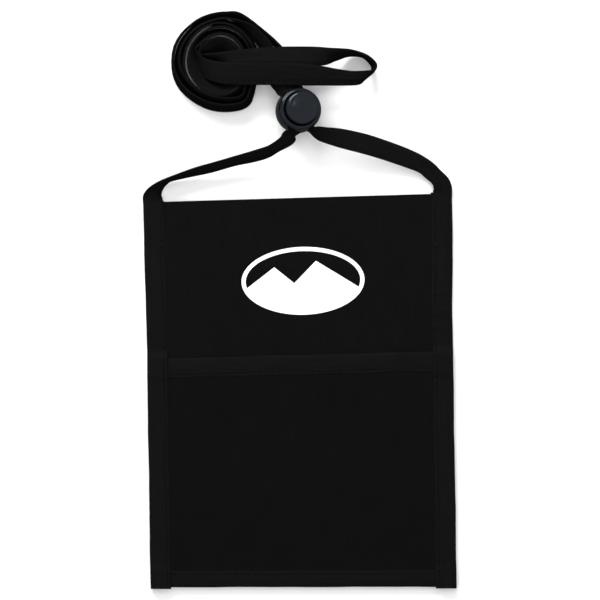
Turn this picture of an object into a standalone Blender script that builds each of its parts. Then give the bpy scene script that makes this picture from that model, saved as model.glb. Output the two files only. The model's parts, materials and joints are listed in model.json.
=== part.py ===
"""Neck pouch wallet: a flat cloth pouch on a neck strap with a spring cord lock.

Metres, +Z up. The pouch lies on its back with its printed front up and its mouth towards +Y.
The origin is on the surface it lies on, under the middle of the pouch.
"""

import math

import bmesh
import bpy
import numpy as np
from mathutils import Euler, Vector

MM = 0.001

# Pouch
POUCH_WIDTH = 140 * MM
POUCH_LENGTH = 178 * MM
CLOTH = 0.35 * MM
TAPE = 0.4 * MM
GAP = 0.3 * MM
TAPE_WIDTH = 9.4 * MM
BOTTOM_TAPE_WIDTH = 7.6 * MM
POCKET_TOP = 16.4 * MM
POCKET_BAND = 9.2 * MM
SEAM_INSET = 1.6 * MM
PANEL_INSET = 1.2 * MM
RIM_RAMP = 3 * MM
STEP_START = 1 * MM
STEP_LENGTH = 2 * MM
THREAD_RADIUS = 0.18 * MM

# Layers over the lower leg of the binding, from the surface upwards
BACK_RIM = TAPE + GAP
FRONT_LEVEL = BACK_RIM + CLOTH + GAP
BAND_LOWER_LEVEL = FRONT_LEVEL + CLOTH + GAP
POCKET_LEVEL = BAND_LOWER_LEVEL + TAPE + GAP
BAND_UPPER_LEVEL = POCKET_LEVEL + CLOTH + GAP
COVER_OVER_FRONT = FRONT_LEVEL + CLOTH + GAP
COVER_OVER_POCKET = POCKET_LEVEL + CLOTH + GAP
COVER_OVER_BAND = BAND_UPPER_LEVEL + TAPE + GAP

# Printed emblem
EMBLEM_WIDTH = 56 * MM
EMBLEM_HEIGHT = 31 * MM
EMBLEM_CENTRE = Vector((1.9 * MM, 51 * MM))
EMBLEM_RING = 1.9 * MM
INK = 0.1 * MM

# Cord lock
LOCK_RADIUS = 10.2 * MM
LOCK_RIM_RADIUS = 9.1 * MM
LOCK_BASE_RADIUS = 4.5 * MM
LOCK_HEIGHT = 17 * MM
LOCK_FLOOR = 1.5 * MM
BUTTON_RADIUS = 7.55 * MM
BUTTON_CLEARANCE = 0.35 * MM
BUTTON_BOTTOM = 8.4 * MM
BUTTON_TOP = 22 * MM
BUTTON_RIM = 1 * MM
BUTTON_VALLEY = 0.7 * MM
BUTTON_CROWN = 0.35 * MM
SLOT_WIDTH = 11 * MM
SLOT_HEIGHT = 6.4 * MM
SLOT_BOTTOM = 6.6 * MM
SLOT_ROUNDING = 1.2 * MM
BUTTON_SLOT_BOTTOM = 10.2 * MM
SPRING_WIRE = 0.7 * MM
SPRING_RADIUS = 4.6 * MM
SPRING_TURNS = 3
LOCK_PLACE = Vector((-0.84 * MM, 127.86 * MM, 1.25 * MM))
LOCK_TILT = Euler((math.radians(-6), math.radians(10.5), math.radians(10)), "ZXY")

# Neck strap
STRAP_WIDTH = 9.2 * MM
STRAP_THICKNESS = 1.2 * MM
STRAP_STEP = 4 * MM
FLAT = 90
ON_EDGE = 0
ROLL_CENTRE = Vector((-37 * MM, 152 * MM))
ROLL_RADII = (19.9 * MM, 22.9 * MM)
ROLL_BAND = 10 * MM

COLOURS = {
    "black_cloth": ((0.012, 0.012, 0.013, 1), 0.85, 0),
    "black_tape": ((0.016, 0.016, 0.018, 1), 0.8, 0),
    "black_thread": ((0.02, 0.02, 0.022, 1), 0.7, 0),
    "white_ink": ((0.9, 0.9, 0.9, 1), 0.6, 0),
    "dark_plastic": ((0.03, 0.034, 0.04, 1), 0.25, 0),
    "spring_steel": ((0.6, 0.6, 0.62, 1), 0.3, 1),
}


def clear_scene():
    for thing in list(bpy.data.objects):
        bpy.data.objects.remove(thing, do_unlink=True)


def collection(name):
    made = bpy.data.collections.new(name)
    bpy.context.scene.collection.children.link(made)
    return made


def material(name):
    colour, roughness, metallic = COLOURS[name]
    made = bpy.data.materials.get(name) or bpy.data.materials.new(name)
    made.use_nodes = True
    shader = made.node_tree.nodes["Principled BSDF"]
    shader.inputs["Base Color"].default_value = colour
    shader.inputs["Roughness"].default_value = roughness
    shader.inputs["Metallic"].default_value = metallic
    made.diffuse_color = colour
    return made


def add(name, data, finish):
    thing = bpy.data.objects.new(name, data)
    if finish:
        data.materials.append(material(finish))
    POUCH_PARTS.objects.link(thing)
    return thing


def solidify(thing, thickness, offset):
    shell = thing.modifiers.new("thickness", "SOLIDIFY")
    shell.thickness = thickness
    shell.offset = offset


def sheet(name, columns, rows, place, thickness, offset, finish):
    """A grid of columns by rows points, each put where place(column, row) says, then thickened."""
    mesh = bpy.data.meshes.new(name)
    grid = bmesh.new()
    bmesh.ops.create_grid(grid, x_segments=columns - 1, y_segments=rows - 1, size=1)
    for vertex in grid.verts:
        column = round((vertex.co.x + 1) / 2 * (columns - 1))
        row = round((vertex.co.y + 1) / 2 * (rows - 1))
        vertex.co = place(column, row)
    grid.to_mesh(mesh)
    grid.free()
    thing = add(name, mesh, finish)
    solidify(thing, thickness, offset)
    return thing


def curve_data(name, dimensions):
    data = bpy.data.curves.new(name, "CURVE")
    data.dimensions = dimensions
    return data


def poly_spline(data, points, cyclic=False):
    spline = data.splines.new("POLY")
    spline.points.add(len(points) - 1)
    for knot, point in zip(spline.points, points):
        knot.co = (*point, 1)
    spline.use_cyclic_u = cyclic
    return spline


def wire(name, points, radius, finish):
    data = curve_data(name, "3D")
    data.bevel_depth = radius
    data.bevel_resolution = 2
    data.use_fill_caps = True
    poly_spline(data, points)
    return add(name, data, finish)


def smooth_route(knots, step):
    """Points about a step apart on a smooth curve through the knots, rows of x, y, z and more."""
    knots = np.array(knots, dtype=float)
    padded = np.vstack([2 * knots[0] - knots[1], knots, 2 * knots[-1] - knots[-2]])
    points = []
    for i in range(1, len(padded) - 2):
        before, start, end, after = padded[i - 1 : i + 3]
        count = max(1, round(float(np.linalg.norm(end[:3] - start[:3])) / step))
        for t in np.arange(count) / count:
            tangents = (end - before) * (t - 2 * t**2 + t**3) + (after - start) * (t**3 - t**2)
            points.append(start + (end - start) * (3 * t**2 - 2 * t**3) + tangents / 2)
    points.append(knots[-1])
    return np.array(points)


def strap(name, knots):
    """Flat strap through knots: x, y, z in mm, turn in degrees (90 lies flat) and width share."""
    metres = [(x * MM, y * MM, z * MM, turn, share) for x, y, z, turn, share in knots]
    route = smooth_route(metres, STRAP_STEP)
    data = curve_data(name, "3D")
    data.twist_mode = "Z_UP"
    data.bevel_depth = STRAP_THICKNESS / 2
    data.bevel_resolution = 1
    data.extrude = (STRAP_WIDTH - STRAP_THICKNESS) / 2
    data.use_fill_caps = True
    spline = poly_spline(data, route[:, :3])
    for knot, (turn, share) in zip(spline.points, route[:, 3:]):
        knot.tilt = math.radians(turn)
        knot.radius = share
    return add(name, data, "black_tape")


# ------------------------------------------------------------------ pouch


def back_panel():
    edge = -POUCH_WIDTH / 2
    across = [edge + PANEL_INSET, edge + TAPE_WIDTH, edge + TAPE_WIDTH + RIM_RAMP]
    across += [-x for x in reversed(across)]
    bottom = -POUCH_LENGTH / 2
    along = [bottom + PANEL_INSET, bottom + BOTTOM_TAPE_WIDTH]
    along += [bottom + BOTTOM_TAPE_WIDTH + RIM_RAMP, POUCH_LENGTH / 2]

    def place(column, row):
        on_rim = column in (0, 1, 4, 5) or row < 2
        return Vector((across[column], along[row], BACK_RIM if on_rim else 0))

    sheet("back_panel", 6, 4, place, CLOTH, 1, "black_cloth")


def flat_panel(name, top, level):
    half = POUCH_WIDTH / 2 - PANEL_INSET
    bottom = PANEL_INSET - POUCH_LENGTH / 2

    def place(column, row):
        return Vector(((-half, half)[column], (bottom, top)[row], level))

    sheet(name, 2, 2, place, CLOTH, 1, "black_cloth")


def fold_profile(width, lower, upper):
    """Half-section of a tape folded over an edge: distance in from the fold, and height."""
    middle = TAPE / 2
    corner = 1.0 * MM
    low, high = lower + middle, upper + middle
    lift = min(0.35 * MM, (high - low) / 3)
    return [
        (width, low),
        (corner + middle, low),
        (corner / 3 + middle, low + lift),
        (middle, (low + high) / 2),
        (corner / 3 + middle, high - lift),
        (corner + middle, high),
        (width, high),
    ]


def side_cover_level(y):
    """Underside of the side binding's front leg at y, which steps over the pocket and its band."""
    middle = STEP_START + STEP_LENGTH / 2
    band_bottom = POCKET_TOP + 2 * TAPE - POCKET_BAND
    if y > POCKET_TOP + 2 * TAPE + middle:
        return COVER_OVER_FRONT
    if y > band_bottom - middle:
        return COVER_OVER_BAND
    return COVER_OVER_POCKET


def side_stations():
    band_top = POCKET_TOP + 2 * TAPE
    band_bottom = band_top - POCKET_BAND
    below = [band_bottom - STEP_START - STEP_LENGTH, band_bottom - STEP_START]
    above = [band_top + STEP_START, band_top + STEP_START + STEP_LENGTH]
    return [-POUCH_LENGTH / 2, *below, *above, POUCH_LENGTH / 2]


def side_binding(side, sign):
    stations = side_stations()

    def place(column, row):
        y = stations[row]
        inward, z = fold_profile(TAPE_WIDTH, 0, side_cover_level(y))[column]
        return Vector((sign * (POUCH_WIDTH / 2 - inward), y, z))

    sheet(f"{side}_side_binding", 7, len(stations), place, TAPE, 0, "black_tape")


def bottom_binding():
    half = POUCH_WIDTH / 2 - TAPE_WIDTH - GAP

    def place(column, row):
        inward, z = fold_profile(BOTTOM_TAPE_WIDTH, 0, COVER_OVER_POCKET)[column]
        return Vector(((-half, half)[row], inward - POUCH_LENGTH / 2, z))

    sheet("bottom_binding", 7, 2, place, TAPE, 0, "black_tape")


def pocket_top_binding():
    half = POUCH_WIDTH / 2 - PANEL_INSET
    fold = POCKET_TOP + 2 * TAPE

    def place(column, row):
        inward, z = fold_profile(POCKET_BAND, BAND_LOWER_LEVEL, BAND_UPPER_LEVEL)[column]
        return Vector(((-half, half)[row], fold - inward, z))

    sheet("pocket_top_binding", 7, 2, place, TAPE, 0, "black_tape")


def seam_threads():
    above = TAPE + GAP + THREAD_RADIUS
    seam_x = POUCH_WIDTH / 2 - TAPE_WIDTH + SEAM_INSET
    for side, sign in (("left", -1), ("right", 1)):
        line = [(sign * seam_x, y, side_cover_level(y) + above) for y in side_stations()]
        wire(f"{side}_side_seam_thread", line, THREAD_RADIUS, "black_thread")
    half = POUCH_WIDTH / 2 - TAPE_WIDTH - SEAM_INSET
    seam_y = BOTTOM_TAPE_WIDTH - SEAM_INSET - POUCH_LENGTH / 2
    line = [(x, seam_y, COVER_OVER_POCKET + above) for x in (-half, half)]
    wire("bottom_seam_thread", line, THREAD_RADIUS, "black_thread")
    seam_y = POCKET_TOP + 2 * TAPE - POCKET_BAND + SEAM_INSET
    line = [(x, seam_y, BAND_UPPER_LEVEL + above) for x in (-half, half)]
    wire("pocket_band_seam_thread", line, THREAD_RADIUS, "black_thread")


def ellipse(centre, radii, count, start=0.0, end=2 * math.pi):
    angles = [start + (end - start) * i / count for i in range(count + 1)]
    return [
        (centre.x + radii[0] * math.cos(a), centre.y + radii[1] * math.sin(a), 0) for a in angles
    ]


def printed_emblem():
    """An oval badge with two peaks in its lower half: a plain travel sign."""
    data = curve_data("printed_emblem", "2D")
    data.fill_mode = "BOTH"
    data.extrude = INK / 2
    centre = Vector((0, 0))
    outer = (EMBLEM_WIDTH / 2, EMBLEM_HEIGHT / 2)
    poly_spline(data, ellipse(centre, outer, 48)[:-1], cyclic=True)
    inner = (outer[0] - EMBLEM_RING, outer[1] - EMBLEM_RING)
    shore = math.radians(14)
    sky = ellipse(centre, inner, 30, -shore, math.pi + shore)
    ridge = [(-13 * MM, 6.5 * MM, 0), (-4 * MM, -1 * MM, 0), (6 * MM, 9 * MM, 0)]
    poly_spline(data, sky + ridge, cyclic=True)
    emblem = add("printed_emblem", data, "white_ink")
    emblem.location = (*EMBLEM_CENTRE, FRONT_LEVEL + CLOTH + GAP + INK / 2)


# -------------------------------------------------------------- cord lock


def lock_frame():
    frame = bpy.data.objects.new("cord_lock_frame", None)
    frame.location = LOCK_PLACE
    frame.rotation_mode = LOCK_TILT.order
    frame.rotation_euler = LOCK_TILT
    POUCH_PARTS.objects.link(frame)
    return frame


def lock_point(x, y, z):
    """A point of the cord lock, given in mm along its own axes, in the model's mm."""
    point = LOCK_TILT.to_matrix() @ (Vector((x, y, z)) * MM) + LOCK_PLACE
    return tuple(value / MM for value in point)


def turned(name, profile, finish, frame):
    """A solid turned about its own Z from a profile of radius and height that meets the axis twice."""
    mesh = bpy.data.meshes.new(name)
    joins = [(i, i + 1) for i in range(len(profile) - 1)]
    mesh.from_pydata([(r, 0, z) for r, z in profile], joins, [])
    thing = add(name, mesh, finish)
    thing.parent = frame
    screw = thing.modifiers.new("turn", "SCREW")
    screw.steps = 48
    screw.render_steps = 48
    screw.use_merge_vertices = True
    screw.merge_threshold = 0.00001
    screw.use_normal_calculate = True
    return thing


def arc(centre, radii, start, end, count):
    angles = [math.radians(start + (end - start) * i / count) for i in range(count + 1)]
    return [(centre[0] + radii[0] * math.cos(a), centre[1] + radii[1] * math.sin(a)) for a in angles]


def cut_slot(thing, bottom, frame):
    bpy.ops.mesh.primitive_cube_add(size=1)
    cutter = bpy.context.object
    cutter.name = f"{thing.name}_slot_cutter"
    for holder in cutter.users_collection:
        holder.objects.unlink(cutter)
    CUTTERS.objects.link(cutter)
    for vertex in cutter.data.vertices:
        vertex.co.x *= SLOT_WIDTH
        vertex.co.y *= 4 * LOCK_RADIUS
        vertex.co.z *= SLOT_HEIGHT
    cutter.location = (0, 0, bottom + SLOT_HEIGHT / 2)
    cutter.parent = frame
    cutter.hide_render = True
    cutter.display_type = "WIRE"
    rounding = cutter.modifiers.new("rounding", "BEVEL")
    rounding.width = SLOT_ROUNDING
    rounding.segments = 3
    slot = thing.modifiers.new("strap_slot", "BOOLEAN")
    slot.operation = "DIFFERENCE"
    slot.solver = "EXACT"
    slot.object = cutter


def toggle_body(frame):
    bore = BUTTON_RADIUS + BUTTON_CLEARANCE
    widest = 9 * MM
    lip = (LOCK_RIM_RADIUS - bore) / 2
    profile = [(0, 0)]
    profile += arc((LOCK_BASE_RADIUS, widest), (LOCK_RADIUS - LOCK_BASE_RADIUS, widest), -90, 0, 8)
    profile += arc(
        (LOCK_RIM_RADIUS, widest), (LOCK_RADIUS - LOCK_RIM_RADIUS, LOCK_HEIGHT - lip - widest), 15, 75, 4
    )
    profile += arc((LOCK_RIM_RADIUS - lip, LOCK_HEIGHT - lip), (lip, lip), 0, 180, 6)
    profile += [(bore, LOCK_FLOOR), (0, LOCK_FLOOR)]
    body = turned("toggle_body", profile, "dark_plastic", frame)
    cut_slot(body, SLOT_BOTTOM, frame)


def toggle_plunger(frame):
    """The button, with a raised rim round a slightly crowned face."""
    rim = BUTTON_RADIUS - BUTTON_RIM
    profile = [(0, BUTTON_BOTTOM), (BUTTON_RADIUS, BUTTON_BOTTOM)]
    profile += arc((rim, BUTTON_TOP - BUTTON_RIM), (BUTTON_RIM, BUTTON_RIM), 0, 90, 5)
    profile += [(rim - BUTTON_RIM, BUTTON_TOP - BUTTON_VALLEY)]
    profile += [(rim * 0.5, BUTTON_TOP - BUTTON_CROWN * 1.25), (0, BUTTON_TOP - BUTTON_CROWN)]
    plunger = turned("toggle_plunger", profile, "dark_plastic", frame)
    cut_slot(plunger, BUTTON_SLOT_BOTTOM, frame)


def toggle_spring(frame):
    clear = GAP + SPRING_WIRE / 2
    bottom, top = LOCK_FLOOR + clear, BUTTON_BOTTOM - clear
    count = 14 * SPRING_TURNS
    line = []
    for i in range(count + 1):
        angle = 2 * math.pi * SPRING_TURNS * i / count
        height = bottom + (top - bottom) * i / count
        line.append((SPRING_RADIUS * math.cos(angle), SPRING_RADIUS * math.sin(angle), height))
    spring = wire("toggle_spring", line, SPRING_WIRE / 2, "spring_steel")
    spring.parent = frame


# ------------------------------------------------------------- neck strap


def strap_left_strand():
    strap(
        "strap_left_strand",
        [
            (-65.6, 89.8, 1.4, FLAT, 1),
            (-65.2, 93, 2.4, FLAT, 1),
            (-61, 97, 4.8, 55, 1),
            (-55, 100, 5.4, 25, 1),
            (-45, 102.6, 6.4, 30, 1),
            (-30, 106.4, 8, 35, 0.95),
            (-15, 110.4, 9.8, 45, 0.85),
            (-7, 114, 11, 70, 0.65),
            lock_point(-3.2, -10.4, 11.6) + (FLAT, 0.5),
            lock_point(-2.8, -5, 11.6) + (FLAT, 0.5),
            lock_point(-2.7, -0.3, 11.6) + (FLAT, 0.5),
        ],
    )


def strap_right_strand():
    strap(
        "strap_right_strand",
        [
            (65.6, 89.8, 1.4, FLAT, 1),
            (65.7, 93, 2.2, FLAT, 1),
            (63.6, 97.6, 3.2, FLAT, 1),
            (58.5, 102, 4.2, FLAT, 1),
            (50, 106.8, 5.6, FLAT, 1),
            (40, 110.6, 7, FLAT, 1),
            (28, 114.4, 8.6, FLAT, 0.95),
            (16, 116.8, 10.2, FLAT, 0.75),
            (10.4, 117.6, 11.6, FLAT, 0.56),
            lock_point(3.3, -10.4, 11.6) + (FLAT, 0.5),
            lock_point(2.8, -5, 11.6) + (FLAT, 0.5),
            lock_point(2.7, -0.3, 11.6) + (FLAT, 0.5),
        ],
    )


def strap_upper_strands():
    strap(
        "strap_upper_left_strand",
        [
            lock_point(-2.7, 0.3, 11.6) + (FLAT, 0.5),
            lock_point(-2.8, 9, 11.6) + (FLAT, 0.55),
            (-6.8, 143, 9.4, FLAT, 0.8),
            (-10.6, 151.4, 7.4, 60, 0.95),
            (-12, 159, 5.6, 25, 1),
            (-15.8, 166, 5.1, ON_EDGE, 1),
            (-21, 170.4, 5.1, ON_EDGE, 1),
            (-27, 173.1, 5.1, ON_EDGE, 1),
        ],
    )
    strap(
        "strap_upper_right_strand",
        [
            lock_point(2.7, 0.3, 11.6) + (FLAT, 0.5),
            lock_point(2.8, 9, 11.6) + (FLAT, 0.55),
            (0.6, 143.4, 9.6, FLAT, 0.8),
            (-3.8, 152, 7.6, 60, 0.95),
            (-8, 159.4, 5.8, 25, 1),
            (-12.6, 167, 5.1, ON_EDGE, 1),
            (-19, 172.4, 5.1, ON_EDGE, 1),
            (-27, 175.2, 5.1, ON_EDGE, 1),
        ],
    )


def strap_roll():
    """The rolled-up middle of the doubled strap: the outer shape of its turns, on edge."""
    data = curve_data("strap_roll", "2D")
    data.fill_mode = "BOTH"
    data.extrude = STRAP_WIDTH / 2
    centre = Vector((0, 0))
    poly_spline(data, ellipse(centre, ROLL_RADII, 40)[:-1], cyclic=True)
    hole = (ROLL_RADII[0] - ROLL_BAND, ROLL_RADII[1] - ROLL_BAND)
    poly_spline(data, ellipse(centre, hole, 32)[:-1], cyclic=True)
    roll = add("strap_roll", data, "black_tape")
    roll.location = (*ROLL_CENTRE, STRAP_WIDTH / 2)


def strap_end_loop():
    over_roll = 11.2
    strap(
        "strap_end_loop",
        [
            (-43.6, 154.6, 5, ON_EDGE, 1),
            (-39, 154.8, 6.4, 20, 1),
            (-34, 154.4, 8.8, 55, 1),
            (-29, 154, 10.9, 84, 1),
            (-24, 153.8, over_roll, FLAT, 0.95),
            (-14, 153.6, 12.2, FLAT, 0.9),
            (-4, 153.5, 12.6, FLAT, 0.9),
            (8, 153.6, 12, FLAT, 0.9),
            (17, 154.6, 9.6, 65, 0.95),
            (25, 155.4, 7, 25, 1),
            (31, 154.2, 5.4, ON_EDGE, 1),
            (35.6, 150, 5, ON_EDGE, 1),
            (34.6, 146.4, 5.4, -20, 1),
            (28, 144.4, 8, -65, 1),
            (17, 144.4, 10.8, -FLAT, 0.95),
            (8, 144.6, 11.8, -FLAT, 0.9),
            (-4, 144.8, 12.6, -FLAT, 0.9),
            (-14, 144.8, 12.2, -FLAT, 0.9),
            (-24, 145, over_roll, -FLAT, 0.95),
            (-29, 146, 10.9, -84, 1),
            (-34, 147.4, 8.8, -55, 1),
            (-39, 149.6, 6.4, -20, 1),
            (-43.6, 151.4, 5, ON_EDGE, 1),
        ],
    )


clear_scene()
POUCH_PARTS = collection("neck_pouch_wallet")
CUTTERS = collection("cutters")

back_panel()
flat_panel("front_panel", POUCH_LENGTH / 2, FRONT_LEVEL)
flat_panel("front_pocket_panel", POCKET_TOP, POCKET_LEVEL)
pocket_top_binding()
bottom_binding()
side_binding("left", -1)
side_binding("right", 1)
seam_threads()
printed_emblem()

cord_lock = lock_frame()
toggle_body(cord_lock)
toggle_plunger(cord_lock)
toggle_spring(cord_lock)

strap_left_strand()
strap_right_strand()
strap_upper_strands()
strap_roll()
strap_end_loop()
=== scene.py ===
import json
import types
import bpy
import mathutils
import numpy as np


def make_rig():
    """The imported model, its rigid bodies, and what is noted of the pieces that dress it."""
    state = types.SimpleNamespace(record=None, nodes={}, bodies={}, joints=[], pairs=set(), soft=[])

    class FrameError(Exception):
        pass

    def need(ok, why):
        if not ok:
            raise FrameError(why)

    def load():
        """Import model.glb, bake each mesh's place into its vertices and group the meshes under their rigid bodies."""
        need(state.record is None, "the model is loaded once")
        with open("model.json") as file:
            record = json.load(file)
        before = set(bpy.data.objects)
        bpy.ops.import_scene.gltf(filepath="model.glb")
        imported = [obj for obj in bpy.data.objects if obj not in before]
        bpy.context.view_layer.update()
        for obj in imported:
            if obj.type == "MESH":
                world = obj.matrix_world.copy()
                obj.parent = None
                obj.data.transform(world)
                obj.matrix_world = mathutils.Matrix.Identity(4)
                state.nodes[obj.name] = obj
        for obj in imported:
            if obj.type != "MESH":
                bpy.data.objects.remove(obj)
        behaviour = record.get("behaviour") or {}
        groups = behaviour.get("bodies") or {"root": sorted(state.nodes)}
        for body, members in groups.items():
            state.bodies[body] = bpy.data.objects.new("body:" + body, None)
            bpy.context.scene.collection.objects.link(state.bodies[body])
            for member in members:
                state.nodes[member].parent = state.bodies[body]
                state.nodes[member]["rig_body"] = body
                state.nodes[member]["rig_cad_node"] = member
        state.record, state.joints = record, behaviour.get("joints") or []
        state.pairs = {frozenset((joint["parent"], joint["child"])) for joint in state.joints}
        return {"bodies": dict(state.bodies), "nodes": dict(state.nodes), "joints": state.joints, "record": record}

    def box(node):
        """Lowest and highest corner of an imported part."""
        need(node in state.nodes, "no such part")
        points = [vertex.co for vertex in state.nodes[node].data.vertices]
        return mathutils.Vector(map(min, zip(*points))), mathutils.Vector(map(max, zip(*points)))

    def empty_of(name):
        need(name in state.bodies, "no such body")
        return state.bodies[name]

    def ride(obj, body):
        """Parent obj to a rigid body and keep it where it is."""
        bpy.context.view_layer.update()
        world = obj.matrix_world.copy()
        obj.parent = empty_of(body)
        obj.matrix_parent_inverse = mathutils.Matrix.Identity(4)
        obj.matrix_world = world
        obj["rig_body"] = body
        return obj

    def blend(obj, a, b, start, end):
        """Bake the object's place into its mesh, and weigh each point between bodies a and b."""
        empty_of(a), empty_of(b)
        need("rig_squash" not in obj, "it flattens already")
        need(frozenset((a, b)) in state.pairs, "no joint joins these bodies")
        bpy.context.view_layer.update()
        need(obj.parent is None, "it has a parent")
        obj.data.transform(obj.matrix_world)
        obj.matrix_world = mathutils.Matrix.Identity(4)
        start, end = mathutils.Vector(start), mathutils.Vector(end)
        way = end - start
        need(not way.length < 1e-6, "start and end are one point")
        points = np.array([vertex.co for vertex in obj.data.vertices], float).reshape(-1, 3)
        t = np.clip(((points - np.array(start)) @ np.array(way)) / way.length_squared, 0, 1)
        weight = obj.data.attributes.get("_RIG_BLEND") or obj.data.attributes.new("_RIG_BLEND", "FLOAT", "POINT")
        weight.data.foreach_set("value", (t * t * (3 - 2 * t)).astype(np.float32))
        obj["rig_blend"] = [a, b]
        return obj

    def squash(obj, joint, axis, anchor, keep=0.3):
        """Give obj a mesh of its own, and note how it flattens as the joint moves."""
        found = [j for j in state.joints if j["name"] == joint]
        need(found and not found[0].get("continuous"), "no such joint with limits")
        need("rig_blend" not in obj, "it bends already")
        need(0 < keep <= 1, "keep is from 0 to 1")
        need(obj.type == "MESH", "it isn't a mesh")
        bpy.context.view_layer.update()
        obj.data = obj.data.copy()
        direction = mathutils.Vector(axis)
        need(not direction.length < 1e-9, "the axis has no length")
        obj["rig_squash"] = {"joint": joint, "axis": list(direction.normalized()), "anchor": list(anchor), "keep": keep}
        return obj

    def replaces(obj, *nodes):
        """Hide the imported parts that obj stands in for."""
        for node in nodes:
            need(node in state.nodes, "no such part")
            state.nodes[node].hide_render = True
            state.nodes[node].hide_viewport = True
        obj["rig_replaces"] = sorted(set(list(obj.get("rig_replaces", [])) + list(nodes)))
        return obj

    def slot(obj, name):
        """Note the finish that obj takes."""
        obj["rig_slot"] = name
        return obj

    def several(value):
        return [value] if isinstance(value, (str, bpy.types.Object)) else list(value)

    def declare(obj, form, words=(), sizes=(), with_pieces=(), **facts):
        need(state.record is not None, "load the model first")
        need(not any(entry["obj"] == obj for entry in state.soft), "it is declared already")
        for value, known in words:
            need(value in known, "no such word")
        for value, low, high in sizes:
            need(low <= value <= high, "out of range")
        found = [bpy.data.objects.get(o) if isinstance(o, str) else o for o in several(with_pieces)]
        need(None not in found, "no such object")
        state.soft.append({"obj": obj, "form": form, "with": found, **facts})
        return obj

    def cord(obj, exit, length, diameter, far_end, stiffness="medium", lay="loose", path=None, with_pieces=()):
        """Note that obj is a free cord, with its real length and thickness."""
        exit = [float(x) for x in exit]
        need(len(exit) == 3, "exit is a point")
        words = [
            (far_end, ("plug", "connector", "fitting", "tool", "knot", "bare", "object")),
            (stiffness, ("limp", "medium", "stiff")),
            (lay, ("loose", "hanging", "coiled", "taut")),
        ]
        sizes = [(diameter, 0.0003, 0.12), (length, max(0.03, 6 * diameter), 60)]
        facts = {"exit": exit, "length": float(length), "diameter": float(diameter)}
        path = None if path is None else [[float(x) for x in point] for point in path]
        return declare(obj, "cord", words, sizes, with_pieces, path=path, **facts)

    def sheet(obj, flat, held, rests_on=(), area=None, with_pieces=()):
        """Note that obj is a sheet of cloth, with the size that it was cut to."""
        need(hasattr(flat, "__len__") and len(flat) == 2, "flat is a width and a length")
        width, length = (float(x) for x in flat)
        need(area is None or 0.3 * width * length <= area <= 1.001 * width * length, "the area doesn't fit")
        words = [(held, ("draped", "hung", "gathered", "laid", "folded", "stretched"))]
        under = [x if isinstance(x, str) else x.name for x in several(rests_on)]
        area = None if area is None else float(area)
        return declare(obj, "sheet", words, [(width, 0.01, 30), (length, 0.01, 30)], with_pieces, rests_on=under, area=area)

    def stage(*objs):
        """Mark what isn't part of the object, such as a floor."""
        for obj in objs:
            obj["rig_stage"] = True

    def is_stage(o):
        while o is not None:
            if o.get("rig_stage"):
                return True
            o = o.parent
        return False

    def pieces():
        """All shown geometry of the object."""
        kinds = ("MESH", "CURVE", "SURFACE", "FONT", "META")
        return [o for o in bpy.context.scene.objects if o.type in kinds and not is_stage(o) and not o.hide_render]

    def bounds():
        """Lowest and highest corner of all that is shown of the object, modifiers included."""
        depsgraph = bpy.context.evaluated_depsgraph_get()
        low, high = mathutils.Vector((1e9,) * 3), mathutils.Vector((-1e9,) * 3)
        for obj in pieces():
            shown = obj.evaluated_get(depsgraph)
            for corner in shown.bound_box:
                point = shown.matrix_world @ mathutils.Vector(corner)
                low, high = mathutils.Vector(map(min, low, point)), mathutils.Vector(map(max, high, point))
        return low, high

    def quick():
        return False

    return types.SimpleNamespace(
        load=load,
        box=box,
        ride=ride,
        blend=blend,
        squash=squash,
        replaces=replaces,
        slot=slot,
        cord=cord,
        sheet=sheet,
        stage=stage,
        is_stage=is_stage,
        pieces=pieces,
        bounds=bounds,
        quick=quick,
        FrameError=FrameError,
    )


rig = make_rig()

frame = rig.load()
CAD_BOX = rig.bounds()

# Neck pouch wallet: the looks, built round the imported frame. Metres, +Z out of the printed front,
# +Y from the pouch's bottom edge to its mouth. Shapes are given in mm and scaled by MM.

import json
import math
import random

import bmesh
import bpy
import numpy as np
from mathutils import Euler, Matrix, Vector

MM = 0.001
RNG = random.Random(7)


def cad_mm(node):
    """Lowest and highest corner of a CAD node, in mm."""
    low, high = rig.box(node)
    return np.array(low) / MM, np.array(high) / MM


POUCH_LOW, POUCH_HIGH = cad_mm("left_side_binding")
POUCH_HALF = -POUCH_LOW[0]
POUCH_END = POUCH_HIGH[1]
BINDING_WIDTH = POUCH_HIGH[0] - POUCH_LOW[0]
BOTTOM_BINDING_WIDTH = float(np.ptp([p[1] for p in cad_mm("bottom_binding")]))
PANEL_HALF = cad_mm("front_panel")[1][0]
FRONT_BASE, FRONT_TOP = cad_mm("front_panel")[0][2], cad_mm("front_panel")[1][2]
POCKET_BASE, POCKET_TOP = cad_mm("front_pocket_panel")[0][2], cad_mm("front_pocket_panel")[1][2]
POCKET_EDGE = cad_mm("front_pocket_panel")[1][1]
BAND_LOW, BAND_HIGH = cad_mm("pocket_top_binding")
EMBLEM_LOW, EMBLEM_HIGH = cad_mm("printed_emblem")

CLOTH = 0.35
TAPE = 0.42
STRAP_WIDTH = 9.2
STRAP_HALF_THICKNESS = 0.58
RING_STEP = 1.0
STITCH_LENGTH = 2.3
STITCH_PITCH = 3.1
THREAD_RADIUS = 0.17


# ---- small tools


def new_object(name, vertices, faces):
    mesh = bpy.data.meshes.new(name)
    mesh.from_pydata([tuple(v) for v in vertices], [], faces)
    mesh.validate()
    thing = bpy.data.objects.new(name, mesh)
    bpy.context.scene.collection.objects.link(thing)
    return thing


def face_out(thing):
    edit = bmesh.new()
    edit.from_mesh(thing.data)
    bmesh.ops.recalc_face_normals(edit, faces=edit.faces)
    edit.to_mesh(thing.data)
    edit.free()


def shade_smooth(thing, angle=None):
    thing.data.polygons.foreach_set("use_smooth", [True] * len(thing.data.polygons))
    if angle is not None:
        thing.data.set_sharp_from_angle(angle=math.radians(angle))


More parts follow.
